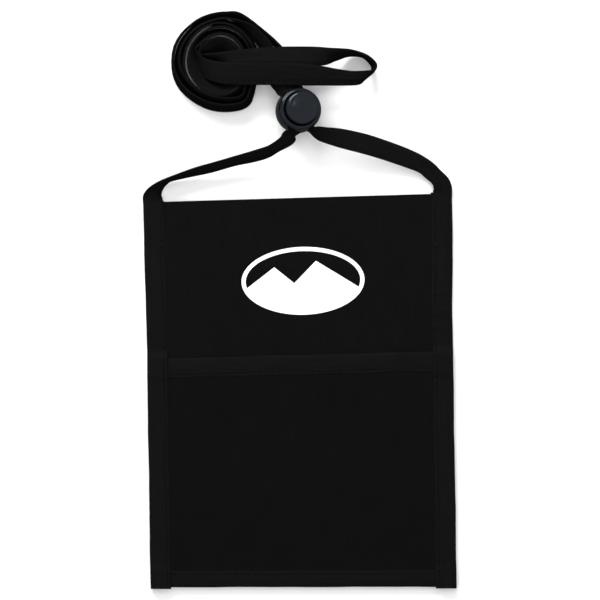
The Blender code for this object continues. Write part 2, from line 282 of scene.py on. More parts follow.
def apply_modifiers(thing):
    bpy.context.view_layer.update()
    evaluated = thing.evaluated_get(bpy.context.evaluated_depsgraph_get())
    old, mesh = thing.data, bpy.data.meshes.new_from_object(evaluated)
    thing.modifiers.clear()
    thing.data = mesh
    mesh.name = thing.name
    bpy.data.meshes.remove(old)


def smooth_rows(rows, step):
    """Rows a step apart on a smooth curve through rows of two points, and the index of each given row."""
    rows = np.array(rows, dtype=float)
    padded = np.vstack([2 * rows[0] - rows[1], rows, 2 * rows[-1] - rows[-2]])
    fine = []
    t = np.linspace(0, 1, 16, endpoint=False)[:, None]
    for i in range(1, len(padded) - 2):
        before, start, end, after = padded[i - 1 : i + 3]
        bend = (end - before) * (t - 2 * t**2 + t**3) + (after - start) * (t**3 - t**2)
        fine.append(start + (end - start) * (3 * t**2 - 2 * t**3) + bend / 2)
    fine = np.vstack([*fine, rows[-1:]])
    line = (fine[:, :3] + fine[:, 3:]) / 2
    run = np.concatenate([[0], np.cumsum(np.linalg.norm(np.diff(line, axis=0), axis=1))])
    at = np.linspace(0, run[-1], max(2, round(run[-1] / step) + 1))
    marks = [int(np.argmin(np.abs(at - place))) for place in run[::len(t)]]
    return np.column_stack([np.interp(at, run, fine[:, k]) for k in range(6)]), marks


def grid_faces(columns, rows):
    corners = (j * columns + i for j in range(rows - 1) for i in range(columns - 1))
    return [(k, k + 1, k + columns + 1, k + columns) for k in corners]


def ramp(value, start, end):
    t = min(max((value - start) / (end - start), 0), 1)
    return t * t * (3 - 2 * t)


def unit(v):
    return v / np.maximum(np.linalg.norm(v, axis=-1, keepdims=True), 1e-9)


def loft(name, rings, run, around):
    """A closed tube through rings (count, points, 3) in mm, with a UV map in cm along and round it."""
    count, points = rings.shape[:2]
    faces = []
    for i in range(count - 1):
        for j in range(points):
            k = (j + 1) % points
            faces.append((i * points + j, i * points + k, (i + 1) * points + k, (i + 1) * points + j))
    faces.append(tuple(range(points)))
    faces.append(tuple(reversed(range((count - 1) * points, count * points))))
    thing = new_object(name, rings.reshape(-1, 3) * MM, faces)
    uv = thing.data.uv_layers.new(name="tape")
    for polygon in thing.data.polygons:
        turn = max(j % points for j in polygon.vertices) == points - 1
        for loop in polygon.loop_indices:
            i, j = divmod(thing.data.loops[loop].vertex_index, points)
            past_seam = turn and j == 0
            uv.data[loop].uv = (run[i] / 10, (around[points] if past_seam else around[j]) / 10)
    face_out(thing)
    shade_smooth(thing, 50)
    return thing


# ---- materials


class Nodes:
    """A short way to write a material's node tree."""

    def __init__(self, name):
        self.material = bpy.data.materials.new(name)
        self.material.use_nodes = True
        self.tree = self.material.node_tree
        self.shader = self.tree.nodes["Principled BSDF"]
        self.place = self.add("ShaderNodeTexCoord").outputs

    def set(self, name, value):
        self.shader.inputs[name].default_value = value

    def add(self, kind, **settings):
        made = self.tree.nodes.new(kind)
        for key, value in settings.items():
            setattr(made, key, value)
        return made

    def link(self, value, socket):
        if isinstance(value, (int, float)):
            socket.default_value = value
        else:
            self.tree.links.new(value, socket)

    def math(self, operation, *values, clamp=False):
        made = self.add("ShaderNodeMath", operation=operation, use_clamp=clamp)
        for value, socket in zip(values, made.inputs):
            self.link(value, socket)
        return made.outputs[0]

    def noise(self, scale, detail=3.0, roughness=0.5, vector=None):
        made = self.add("ShaderNodeTexNoise")
        made.inputs["Scale"].default_value = scale
        made.inputs["Detail"].default_value = detail
        made.inputs["Roughness"].default_value = roughness
        self.link(self.place["Object"] if vector is None else vector, made.inputs["Vector"])
        return made.outputs[0]

    def range(self, value, low, high, to_low, to_high):
        made = self.add("ShaderNodeMapRange")
        for socket, number in zip(made.inputs[1:5], (low, high, to_low, to_high)):
            socket.default_value = number
        self.link(value, made.inputs[0])
        return made.outputs[0]

    def colour(self, factor, dark, light):
        made = self.add("ShaderNodeMix", data_type="RGBA")
        self.link(factor, made.inputs["Factor"])
        made.inputs["A"].default_value = (*dark, 1)
        made.inputs["B"].default_value = (*light, 1)
        self.link(made.outputs["Result"], self.shader.inputs["Base Color"])

    def bump(self, height, distance):
        made = self.add("ShaderNodeBump")
        made.inputs["Distance"].default_value = distance
        self.link(height, made.inputs["Height"])
        self.link(made.outputs[0], self.shader.inputs["Normal"])


def plain_weave(nodes, across, along, across_pitch, along_pitch):
    """Height of a plain weave, 0 to 1, and its two thread coordinates."""
    u = nodes.math("MULTIPLY", across, 1 / across_pitch)
    v = nodes.math("MULTIPLY", along, 1 / along_pitch)
    wave_u = nodes.math("SINE", nodes.math("MULTIPLY", u, math.pi))
    wave_v = nodes.math("SINE", nodes.math("MULTIPLY", v, math.pi))
    crown_u = nodes.math("POWER", nodes.math("ABSOLUTE", wave_u), 0.6)
    crown_v = nodes.math("POWER", nodes.math("ABSOLUTE", wave_v), 0.6)
    warp = nodes.math("MULTIPLY", crown_u, nodes.math("MULTIPLY_ADD", crown_v, 0.5, 0.5))
    weft = nodes.math("MULTIPLY", crown_v, nodes.math("MULTIPLY_ADD", crown_u, 0.5, 0.5))
    over = nodes.math("GREATER_THAN", nodes.math("MULTIPLY", wave_u, wave_v), 0.0)
    warp_part = nodes.math("MULTIPLY", over, warp)
    weft_part = nodes.math("MULTIPLY", nodes.math("SUBTRACT", 1.0, over), weft)
    return nodes.math("ADD", warp_part, weft_part), u, v


def woven(name, dark, light, pitch, coordinates, specular=0.03, sheen=0.006):
    """Black woven cloth, its weave's relief painted into the colour: painted shade in the gaps between threads, painted
    light on their crowns. coordinates is "Object" for flat cloth or "UV" for tape, pitch in mm.
    """
    nodes = Nodes(name)
    flat = coordinates == "Object"
    scale = 1000 if flat else 10
    split = nodes.add("ShaderNodeSeparateXYZ")
    nodes.link(nodes.place[coordinates], split.inputs[0])
    across = nodes.math("MULTIPLY", split.outputs[0], float(scale))
    along = nodes.math("MULTIPLY", split.outputs[1], float(scale))
    height, u, v = plain_weave(nodes, across, along, pitch[0], pitch[1])
    streak = nodes.add("ShaderNodeCombineXYZ")
    thread, run = (u, v) if flat else (v, u)
    nodes.link(nodes.math("MULTIPLY", nodes.math("FLOOR", thread), 7.3), streak.inputs[0])
    nodes.link(nodes.math("MULTIPLY", run, 0.035), streak.inputs[1])
    slub = nodes.noise(1.0, 2.0, vector=streak.outputs[0])
    cloud = nodes.noise(14.0, 5.0, 0.55)
    # Colour follows the weave's height: painted shade between the threads, painted light on the thread crowns; slub and
    # cloud vary it at random.
    tone_with_painted_weave_shade = nodes.math("MULTIPLY", height, nodes.range(slub, 0.3, 0.7, 0.55, 1.0))
    tone_with_painted_weave_shade = nodes.math("MULTIPLY", tone_with_painted_weave_shade, nodes.range(cloud, 0.25, 0.75, 0.84, 1.0), clamp=True)
    nodes.colour(tone_with_painted_weave_shade, dark, light)
    wear = nodes.noise(120.0, 3.0)
    nodes.link(nodes.range(wear, 0.3, 0.7, 0.55, 0.75), nodes.shader.inputs["Roughness"])
    nodes.bump(height, 0.00010)
    nodes.set("Specular IOR Level", specular)
    nodes.set("Sheen Weight", sheen)
    nodes.set("Sheen Roughness", 0.45)
    return nodes.material


def twisted_thread(name):
    nodes = Nodes(name)
    twist = nodes.add("ShaderNodeTexWave", wave_type="BANDS", bands_direction="DIAGONAL")
    twist.inputs["Scale"].default_value = 900.0
    twist.inputs["Distortion"].default_value = 0.6
    nodes.link(nodes.place["Object"], twist.inputs["Vector"])
    # Colour follows the twist's relief bands: painted shade in the grooves between plies, painted light on their
    # crowns.
    nodes.colour(twist.outputs["Fac"], (0.0006, 0.0006, 0.0007), (0.0036, 0.0036, 0.0038))
    nodes.bump(twist.outputs["Fac"], 0.00004)
    nodes.set("Roughness", 0.6)
    nodes.set("Specular IOR Level", 0.03)
    return nodes.material


def screen_ink(name):
    """White print: the weave's relief is painted into it as shade in the gaps between threads and light on their
    crowns, with a faint random grain and small pinholes.
    """
    nodes = Nodes(name)
    split = nodes.add("ShaderNodeSeparateXYZ")
    nodes.link(nodes.place["Object"], split.inputs[0])
    across = nodes.math("MULTIPLY", split.outputs[0], 1000.0)
    along = nodes.math("MULTIPLY", split.outputs[1], 1000.0)
    height = plain_weave(nodes, across, along, 0.5, 0.5)[0]
    grain = nodes.noise(1500.0, 2.0)
    # Ink tone: partly painted shade and light from the weave's height, partly random grain in the ink.
    tone_with_painted_weave_shade = nodes.math("ADD", nodes.math("MULTIPLY", height, 0.5), nodes.range(grain, 0.3, 0.7, 0.2, 0.6))
    nodes.colour(nodes.range(tone_with_painted_weave_shade, 0.15, 0.7, 0.0, 1.0), (0.62, 0.62, 0.61), (0.93, 0.93, 0.92))
    nodes.bump(height, 0.00005)
    nodes.set("Roughness", 0.6)
    return nodes.material


def moulded_plastic(name):
    """Dark blue-grey plastic: fine moulded skin, faint scuffs, glossy."""
    nodes = Nodes(name)
    cloud = nodes.noise(160.0, 4.0)
    nodes.colour(cloud, (0.0015, 0.003, 0.0055), (0.0035, 0.006, 0.01))
    scuff = nodes.noise(420.0, 6.0, 0.7)
    nodes.link(nodes.range(scuff, 0.4, 0.75, 0.08, 0.16), nodes.shader.inputs["Roughness"])
    skin = nodes.noise(1400.0, 2.0)
    nodes.bump(skin, 0.000004)
    nodes.set("Specular IOR Level", 0.36)
    return nodes.material


def spring_wire(name):
    nodes = Nodes(name)
    drawn = nodes.noise(900.0, 4.0)
    nodes.colour(drawn, (0.35, 0.35, 0.37), (0.62, 0.62, 0.64))
    nodes.link(nodes.range(drawn, 0.3, 0.7, 0.2, 0.4), nodes.shader.inputs["Roughness"])
    nodes.set("Metallic", 1.0)
    return nodes.material


def pale_floor(name):
    nodes = Nodes(name)
    nodes.colour(nodes.noise(3.0, 2.0), (0.9, 0.9, 0.9), (0.92, 0.92, 0.92))
    nodes.set("Roughness", 0.9)
    nodes.set("Specular IOR Level", 0.0)
    return nodes.material


PANEL_CLOTH = woven("panel_cloth", (0.0014, 0.0014, 0.0015), (0.0047, 0.0047, 0.0049), (0.5, 0.5), "Object")
POCKET_CLOTH = woven(
    "pocket_cloth", (0.0013, 0.0013, 0.0014), (0.0042, 0.0042, 0.0044), (0.42, 0.42), "Object"
)
BINDING_TAPE = woven("binding_tape", (0.0016, 0.0016, 0.0017), (0.0064, 0.0064, 0.0066), (0.75, 0.45), "UV")
STRAP_TAPE = woven(
    "strap_tape", (0.002, 0.002, 0.002), (0.0098, 0.0098, 0.01), (0.75, 0.45), "UV", specular=0.0, sheen=0.0
)
THREAD = twisted_thread("black_thread")
INK = screen_ink("white_print")
PLASTIC = moulded_plastic("moulded_plastic")
STEEL = spring_wire("spring_wire")


MOUTH_FLARE = 0.009
SIDE_GROWTH = 0.000155
POUCH_SHIFT = 0.24


def out_of_square(x, y):
    """Where a point of the pouch lies, in mm: the photo shows it wider at the mouth, longer at the right."""
    return x * (1 + MOUTH_FLARE * ramp(y, 30, 75)), y * (1 + SIDE_GROWTH * x) + POUCH_SHIFT


def skew(thing):
    for vertex in thing.data.vertices:
        x, y = out_of_square(vertex.co.x / MM, vertex.co.y / MM)
        vertex.co.x, vertex.co.y = x * MM, y * MM


def finish_piece(thing, material, slot, *nodes, body="pouch"):
    """Gives a piece its finish, its body and the CAD nodes that it stands for."""
    if body == "pouch":
        skew(thing)
    thing.data.materials.clear()
    thing.data.materials.append(material)
    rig.slot(thing, slot)
    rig.ride(thing, body)
    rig.replaces(thing, *nodes)
    return thing


# ---- camera

VIEW_WIDTH = 0.2745
VIEW_CENTRE = (0.0004, 0.0425)
VIEW_ROLL = -0.9
LENS = 420
SENSOR = 36


def camera():
    data = bpy.data.cameras.new("camera")
    data.lens = LENS
    data.sensor_width = SENSOR
    data.clip_start = 0.05
    thing = bpy.data.objects.new("camera", data)
    thing.location = (*VIEW_CENTRE, VIEW_WIDTH * LENS / SENSOR)
    thing.rotation_euler = Euler((0, 0, math.radians(VIEW_ROLL)))
    bpy.context.scene.collection.objects.link(thing)
    bpy.context.scene.camera = thing


camera()

# ---- stitches, tape


def capsule_template():
    """A stitch along +X, 1 long and of radius 1 sunk at its ends, as points and faces."""
    sides, stations = 7, [(-0.5, 0.25, -1.0), (-0.4, 0.85, -0.15), (-0.15, 1, 0.1)]
    stations += [(-x, r, z) for x, r, z in reversed(stations)]
    points, faces = [], []
    for x, r, z in stations:
        for k in range(sides):
            angle = 2 * math.pi * k / sides
            points.append((x, r * math.cos(angle), z + r * math.sin(angle)))
    for i in range(len(stations) - 1):
        for k in range(sides):
            n = (k + 1) % sides
            faces.append((i * sides + k, i * sides + n, (i + 1) * sides + n, (i + 1) * sides + k))
    faces.append(tuple(reversed(range(sides))))
    faces.append(tuple(range((len(stations) - 1) * sides, len(stations) * sides)))
    return np.array(points), faces


STITCH_POINTS, STITCH_FACES = capsule_template()


def stitches(name, rows):
    """Stitches at rows of (place, direction, outward normal), all in mm."""
    vertices, faces = [], []
    for place, along, out in rows:
        along, out = unit(np.array(along)), unit(np.array(out))
        side = np.cross(out, along)
        slant = math.radians(RNG.uniform(4, 9))
        c, s = math.cos(slant), math.sin(slant)
        along, side = along * c + side * s, side * c - along * s
        length = STITCH_LENGTH * RNG.uniform(0.95, 1.05)
        local = STITCH_POINTS * (length, THREAD_RADIUS, THREAD_RADIUS)
        placed = np.array(place) + local @ np.array([along, side, out])
        offset = len(vertices)
        vertices.extend(placed * MM)
        faces.extend(tuple(k + offset for k in face) for face in STITCH_FACES)
    thing = new_object(name, vertices, faces)
    face_out(thing)
    shade_smooth(thing)
    return thing


def every_pitch(length, start=STITCH_PITCH / 2):
    return np.arange(start, length - STITCH_PITCH / 2, STITCH_PITCH)


# Section of the folded strap: share of the half width, then share of the half thickness.
# It runs from the sewn open edge (-1) to the fold (+1) and back, with the two layers parted at -1.
SEAM_AT = -0.68
FACE = [(-1.0, 0.62), (-0.93, 0.9), (-0.8, 0.94), (SEAM_AT, 0.72), (-0.56, 0.94), (-0.2, 1.0)]
FACE += [(0.2, 1.0), (0.6, 0.98), (0.84, 0.9)]
FOLD = [(0.955, 0.52), (1.0, 0.0), (0.955, -0.52)]
PARTING = [(-0.985, -0.2), (-0.84, 0.0), (-0.985, 0.2)]
STRAP_SECTION = np.array(FACE + FOLD + [(s, -n) for s, n in reversed(FACE)] + PARTING)


def strap_frames(rows):
    """A strap from rows of fold edge and open edge: what each of its pieces is made from, in mm."""
    edges, marks = smooth_rows(rows, RING_STEP)
    fold, open_edge = edges[:, :3], edges[:, 3:]
    centre = (fold + open_edge) / 2
    along = unit(np.gradient(centre, axis=0))
    across = fold - open_edge
    across = across - (across * along).sum(1, keepdims=True) * along
    half = np.linalg.norm(across, axis=1) / 2
    across = unit(across)
    run = np.concatenate([[0], np.cumsum(np.linalg.norm(np.diff(centre, axis=0), axis=1))])
    ripple = 0.10 * np.sin(run / 7.3 + half[0]) + 0.07 * np.sin(run / 3.1 + 2 * half[0])
    squeezed = np.clip(1 - half / (STRAP_WIDTH / 2), 0, 0.6)
    out = np.cross(along, across)
    strap = {"centre": centre, "along": along, "across": across, "out": out, "half": half}
    return {**strap, "run": run, "ripple": ripple, "squeezed": squeezed, "marks": marks}


def bulge(strap, share):
    """How far the tape stands off its middle line at a share of its half width, in mm."""
    pleat = 1.5 * np.outer(strap["squeezed"], np.cos(np.pi * 1.5 * share))
    return pleat + np.outer(strap["ripple"], 1 - 0.5 * share)


def strap_piece(name, strap, first, last):
    """A stretch of the strap between two rings, with its two rows of stitches."""
    cut = {key: value[first : last + 1] for key, value in strap.items() if key != "marks"}
    centre, along, across, out, half = (cut[key] for key in ("centre", "along", "across", "out", "half"))
    run = cut["run"] - cut["run"][0]
    s, n = STRAP_SECTION[:, 0], STRAP_SECTION[:, 1]
    pucker = 0.05 * np.outer(np.cos(2 * np.pi * run / STITCH_PITCH), np.exp(-(((s - SEAM_AT) / 0.12) ** 2)))
    lift = n[None, :] * STRAP_HALF_THICKNESS + bulge(cut, s) + pucker * np.sign(n)
    wide = s[None, :] * half[:, None]
    rings = centre[:, None] + across[:, None] * wide[..., None] + out[:, None] * lift[..., None]
    flat = np.column_stack([s * STRAP_WIDTH / 2, n * STRAP_HALF_THICKNESS])
    steps = np.linalg.norm(np.diff(np.vstack([flat, flat[:1]]), axis=0), axis=1)
    thing = loft(name, rings, run, np.concatenate([[0], np.cumsum(steps)]))
    off = bulge(cut, np.array([SEAM_AT]))[:, 0]
    rows = []
    for at in every_pitch(run[-1], STITCH_PITCH * 0.5):
        i = int(np.searchsorted(run, at))
        for sign in (1, -1):
            lifted = off[i] + sign * 0.78 * STRAP_HALF_THICKNESS
            place = centre[i] + across[i] * SEAM_AT * half[i] + out[i] * lifted
            rows.append((place, along[i], sign * out[i]))
    sewing = stitches(f"{name}_stitching", rows)
    return thing, sewing, [tuple(p * MM) for p in centre], float(run[-1]) * MM


# ---- cord lock

LOCK_PLACE = Vector((-0.84, 127.86, 1.25))
LOCK_TILT = Euler((math.radians(-6), math.radians(10.5), math.radians(10)), "ZXY").to_matrix()
LOCK_RADIUS = 10.2
LOCK_RIM_RADIUS = 9.1
LOCK_BASE_RADIUS = 4.5
LOCK_HEIGHT = 17
LOCK_WIDEST = 9
LOCK_FLOOR = 1.5
BUTTON_RADIUS = 7.55
BUTTON_CLEARANCE = 0.35
BUTTON_BOTTOM = 8.4
BUTTON_TOP = 22
SLOT_WIDTH = 11
SLOT_HEIGHT = 6.4
SLOT_BOTTOM = 6.6
BUTTON_SLOT_BOTTOM = 10.2
SLOT_ROUNDING = 1.2
BUTTON_TRAVEL = 4
SPRING_WIRE = 0.7
SPRING_RADIUS = 4.6
SPRING_TURNS = 5


def lock_point(x, y, z):
    """A point of the cord lock, given in mm along its own axes, in the model's mm."""
    return tuple(LOCK_TILT @ Vector((x, y, z)) + LOCK_PLACE)


# ---- strap
# Each row: the strap's fold edge, then its sewn open edge, in mm.

LEFT_STRAND = [
    (-70.7, 87.4, 1.1, -61.8, 87.4, 1.1),
    (-70.8, 90.4, 1.4, -61.7, 90.0, 1.1),
    (-70.3, 91.8, 2.4, -61.8, 91.6, 1.0),
    (-68.2, 94.0, 4.4, -60.8, 94.4, 0.9),
    (-64.2, 96.5, 6.8, -58.9, 97.0, 0.8),
    (-58.6, 99.2, 8.6, -56.2, 98.5, 0.8),
    (-46.5, 103.6, 9.6, -45.0, 100.5, 1.4),
    (-38.2, 105.8, 10.3, -38.6, 101.8, 2.4),
    (-29.1, 108.2, 11.0, -29.5, 103.9, 3.4),
    (-14.8, 112.4, 12.6, -14.9, 107.2, 5.4),
    (-10.5, 114.4, 13.0, -7.8, 110.8, 7.2),
    (-7.4, 117.0, 13.6, -1.7, 114.2, 8.8),
    (-5.8, 119.2, 14.2, 0.0, 117.2, 9.6),
    lock_point(-4.8, -9.0, 12.3) + lock_point(-0.2, -9.0, 9.6),
    lock_point(-5.0, -5.0, 12.3) + lock_point(-0.6, -5.0, 10.9),
    lock_point(-5.0, -0.2, 12.3) + lock_point(-0.6, -0.2, 10.9),
]
RIGHT_STRAND = [
    (70.7, 88.6, 1.15, 61.8, 88.6, 1.15),
    (70.8, 91.4, 1.6, 62.0, 91.0, 1.4),
    (70.7, 92.8, 2.2, 62.3, 92.5, 1.9),
    (69.8, 96.0, 2.9, 60.9, 95.6, 2.4),
    (67.0, 99.6, 3.4, 57.0, 99.0, 2.8),
    (60.4, 105.7, 4.6, 54.4, 100.6, 3.3),
    (51.5, 110.6, 5.8, 46.9, 103.3, 4.6),
    (34.1, 117.1, 8.2, 33.0, 107.9, 7.4),
    (22.3, 120.0, 10.0, 18.6, 111.9, 9.4),
    (14.6, 120.8, 12.0, 10.3, 114.8, 9.8),
    (11.2, 121.0, 12.9, 6.9, 117.2, 9.2),
    (9.2, 120.9, 13.1, 5.9, 119.0, 9.0),
    lock_point(5.0, -8.4, 12.3) + lock_point(1.6, -8.4, 8.9),
    lock_point(5.0, -5.0, 12.3) + lock_point(0.6, -5.0, 10.9),
    lock_point(5.0, -0.2, 12.3) + lock_point(0.6, -0.2, 10.9),
]
UPPER_RIGHT_STRAND = [
    lock_point(5.0, 0.2, 12.3) + lock_point(0.6, 0.2, 10.9),
    lock_point(5.0, 5.0, 12.3) + lock_point(0.4, 5.0, 10.9),
    lock_point(3.9, 10.5, 11.8) + lock_point(-0.8, 10.4, 8.8),
    (2.8, 142.4, 10.4, -3.6, 142.0, 7.8),
    (1.0, 147.0, 10.8, -4.8, 146.8, 5.2),
    (-2.8, 153.0, 10.6, -6.6, 153.0, 2.6),
]
UPPER_LEFT_STRAND = [
    lock_point(-0.6, 0.2, 12.3) + lock_point(-5.0, 0.2, 10.9),
    lock_point(-0.6, 5.0, 12.3) + lock_point(-5.0, 5.0, 10.9),
    lock_point(-0.4, 9.6, 12.0) + lock_point(-5.2, 7.6, 9.8),
    (-1.7, 139.4, 11.4, -8.2, 136.2, 9.4),
    (-3.0, 140.8, 11.0, -10.1, 138.8, 8.4),
    (-4.6, 142.6, 10.7, -11.8, 141.4, 6.9),
    (-6.6, 147.0, 10.4, -14.0, 146.6, 4.9),
    (-8.4, 153.0, 9.9, -15.4, 153.2, 3.9),
]
COIL_CENTRE = np.array([-35.4, 151.6])
COIL_STRETCH = np.array([0.95, 1.03])
COIL_RADIUS = 22.6
COIL_PITCH = 4.75
COIL_END = 862
COIL_TOP = 9.4
OUTER_TURN_CENTRE = np.array([-31.2, 152.7])
OUTER_TURN_RADII = np.array([23.7, 20.45])
COIL_LEAN = 12
LOWER_LEAN = 8
INNER_FLARE = 46
INNER_TUCK = 0.8
SLACK = 1.5
SLACK_AT = 665
SLACK_SPREAD = 45
LAST_TURN_LEAN = 4
LOWER_UPRIGHT = 9
START_UPRIGHT = 20
# Angles along the coil, in degrees, between which one shape passes into the next.
COIL_STEP = 15
LEAVES_START = (85, 135)
LEAVES_OVAL = (272, 330)
SECOND_TURN = (330, 420)
FLARE_OPENS = (440, 550)
LAST_TURN = (560, 640)


def coil(start, offset, flare):
    """Rows of the rolled strap, on edge, from an angle in degrees to its inner end.

    The tape leans with its foot outwards. Where it flares, in its last turn, the foot turns
    inwards and the top edge closes up to the turn outside it."""
    rows = []
    for angle in range(start, COIL_END, COIL_STEP):
        turn = math.radians(angle)
        heading = np.array([math.cos(turn), math.sin(turn)])
        wobble = 0.25 * math.sin(turn * 1.37 + offset) + 0.15 * math.sin(turn * 3.1 + 2 * offset)
        open_up = flare * ramp(angle, *FLARE_OPENS)
        slack = SLACK * math.exp(-(((angle - SLACK_AT) / SLACK_SPREAD) ** 2))
        radius = COIL_RADIUS - COIL_PITCH * angle / 360
        radius = radius + offset + wobble + slack + INNER_TUCK * open_up
        spiral = COIL_CENTRE + heading * COIL_STRETCH * radius
        oval = OUTER_TURN_CENTRE + heading * (OUTER_TURN_RADII + offset + wobble)
        place = oval + (spiral - oval) * ramp(angle, *LEAVES_OVAL)
        outermost = (1 - flare) * (1 - ramp(angle, *SECOND_TURN))
        lean = COIL_LEAN + LOWER_LEAN * max(0.0, -math.sin(turn)) + 1.5 * math.sin(turn * 2.3)
        lean += LAST_TURN_LEAN * (1 - flare) * ramp(angle, *LAST_TURN)
        upright = LOWER_UPRIGHT * min(1.0, 1 + math.sin(turn))
        lean -= outermost * (upright + START_UPRIGHT * (1 - ramp(angle, *LEAVES_START)))
        lean = math.radians(lean - (lean + INNER_FLARE) * open_up)
        reach = STRAP_WIDTH * math.sin(lean)
        top = place - heading * max(0.0, reach) * (1 - flare * ramp(angle, *SECOND_TURN)) / 2
        foot = top + heading * reach
        height = COIL_TOP + 0.12 * math.sin(turn * 1.9 + offset)
        rows.append((*top, height, *foot, height - STRAP_WIDTH * math.cos(lean)))
    return rows


OUTER_COIL = [
    (-7.2, 159.2, 9.9, -9.2, 158.5, 0.9),
    (-14.4, 166.0, 9.7, -16.4, 164.2, 0.9),
    *coil(75, 1.3, 0),
]
INNER_COIL = [
    (-10.7, 159.5, 9.8, -17.0, 158.8, 3.4),
    (-15.0, 164.6, 9.7, -20.4, 163.0, 2.6),
    (-20.4, 168.8, 9.5, -24.2, 166.8, 1.6),
    *coil(90, -1.3, 1),
]
END_LOOP = [
    (-43.6, 157.4, 9.3, -40.6, 155.6, 1.4),
    (-43.0, 155.9, 9.4, -41.4, 153.8, 0.9),
    (-40.5, 155.4, 9.8, -40.0, 152.8, 1.4),
    (-34.0, 156.0, 10.6, -34.0, 149.8, 5.2),
    (-27.0, 156.9, 10.9, -28.5, 148.8, 10.6),
    (-15.2, 157.9, 11.0, -15.0, 149.6, 12.6),
    (-6.9, 158.2, 11.2, -6.0, 149.6, 13.2),
    (6.8, 158.0, 11.2, 4.0, 149.4, 12.6),
    (15.0, 157.6, 11.0, 12.1, 149.4, 9.8),
    (21.0, 157.0, 10.2, 18.4, 151.6, 4.4),
    (26.0, 156.2, 9.6, 24.4, 153.6, 1.2),
    (31.6, 154.2, 9.3, 30.2, 153.2, 0.4),
    (35.4, 151.6, 9.3, 33.6, 150.4, 0.4),
    (37.1, 148.9, 9.5, 34.8, 148.4, 0.7),
    (36.0, 146.6, 10.0, 34.4, 145.4, 2.0),
    (32.2, 146.2, 10.8, 32.2, 142.6, 4.6),
    (25.6, 146.4, 12.0, 29.6, 140.2, 8.4),
    (18.1, 147.6, 13.4, 19.6, 139.9, 10.2),
    (8.0, 149.6, 14.6, 8.0, 140.2, 11.6),
    (-4.0, 150.4, 15.2, -4.0, 140.6, 12.3),
    (-14.0, 150.6, 14.8, -14.0, 140.8, 11.8),
    (-22.0, 150.9, 13.4, -22.0, 141.0, 10.6),
    (-30.0, 151.3, 11.9, -31.0, 141.5, 9.9),
    (-35.0, 151.8, 10.8, -37.0, 142.8, 8.2),
    (-39.4, 152.8, 9.9, -42.4, 145.4, 4.8),
    (-42.6, 154.4, 9.5, -45.8, 149.6, 1.6),
    (-44.6, 156.8, 9.3, -46.4, 154.0, 0.3),
    (-45.2, 158.6, 9.3, -45.9, 158.2, 0.2),
]
ROLLED = UPPER_RIGHT_STRAND + OUTER_COIL + END_LOOP[::-1] + INNER_COIL[::-1] + UPPER_LEFT_STRAND[::-1]
COIL_ROWS_IN_UPPER = 6


def rolled_pieces():
    """The strap above the cord lock, one length of tape from one bore side to the other, in pieces."""
    strap = strap_frames(ROLLED)
    upper = len(UPPER_RIGHT_STRAND) + COIL_ROWS_IN_UPPER
    outer = len(UPPER_RIGHT_STRAND) + len(OUTER_COIL) - 1
    loop = outer + len(END_LOOP) + 1
    inner = len(ROLLED) - 1 - len(UPPER_LEFT_STRAND) - COIL_ROWS_IN_UPPER
    names = ("upper_right_strand", "outer_coil", "end_loop", "inner_coil", "upper_left_strand")
    ends = [strap["marks"][row] for row in (0, upper, outer, loop, inner, len(ROLLED) - 1)]
    return {name: strap_piece(name, strap, i, j) for name, i, j in zip(names, ends, ends[1:])}


def neck_strap():
    """Every stretch of the strap: its stitching, the bodies it goes with and its real length."""
    made = rolled_pieces()
    for name, rows in (("left_strand", LEFT_STRAND), ("right_strand", RIGHT_STRAND)):
        strap = strap_frames(rows)
        made[name] = strap_piece(name, strap, 0, len(strap["run"]) - 1)
    nodes = {
        "left_strand": "strap_left_strand",
        "right_strand": "strap_right_strand",
        "upper_right_strand": "strap_upper_right_strand",
        "upper_left_strand": "strap_upper_left_strand",
        "outer_coil": "strap_roll",
        "end_loop": "strap_end_loop",
    }
    bends = {
        "left_strand": ((-0.060, 0.100, 0), (-0.008, 0.100, 0)),
        "right_strand": ((0.060, 0.100, 0), (0.008, 0.100, 0)),
        "upper_right_strand": ((0, 0.1535, 0), (0, 0.139, 0)),
        "upper_left_strand": ((0, 0.1535, 0), (0, 0.139, 0)),
    }
    for name, (tape, sewing, path, length) in made.items():
        tape.data.materials.append(STRAP_TAPE)
        sewing.data.materials.append(THREAD)
        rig.slot(tape, "black_tape")
        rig.slot(sewing, "black_thread")
        for piece in (tape, sewing):
            if name in bends:
                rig.blend(piece, "pouch", "toggle", *bends[name])
            else:
                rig.ride(piece, "pouch")
        if name in nodes:
            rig.replaces(tape, nodes[name])
        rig.cord(
            tape, exit=path[0], length=round(length, 4), diameter=STRAP_WIDTH * MM,
            far_end="object", stiffness="limp", lay="coiled" if "coil" in name else "loose",
            path=path, with_pieces=[sewing],
        )


neck_strap()

# ---- pouch

CLOTH_SCALE = 0.01
GRID = 2.6
PIN_INSIDE = 1.8
PANEL_CORNER = (-PANEL_HALF, -POUCH_END + 1.2)
LAYER_DROP = 0.35
CLOTH_FRAMES = 26
CLOTH_SETTINGS = {
    "quality": 6, "mass": 0.15, "vertex_group_mass": "sewn", "pin_stiffness": 1,
    "tension_stiffness": 40, "compression_stiffness": 40, "shear_stiffness": 20, "bending_stiffness": 1.2,
    "tension_damping": 20, "compression_damping": 20, "bending_damping": 3, "air_damping": 4,
}


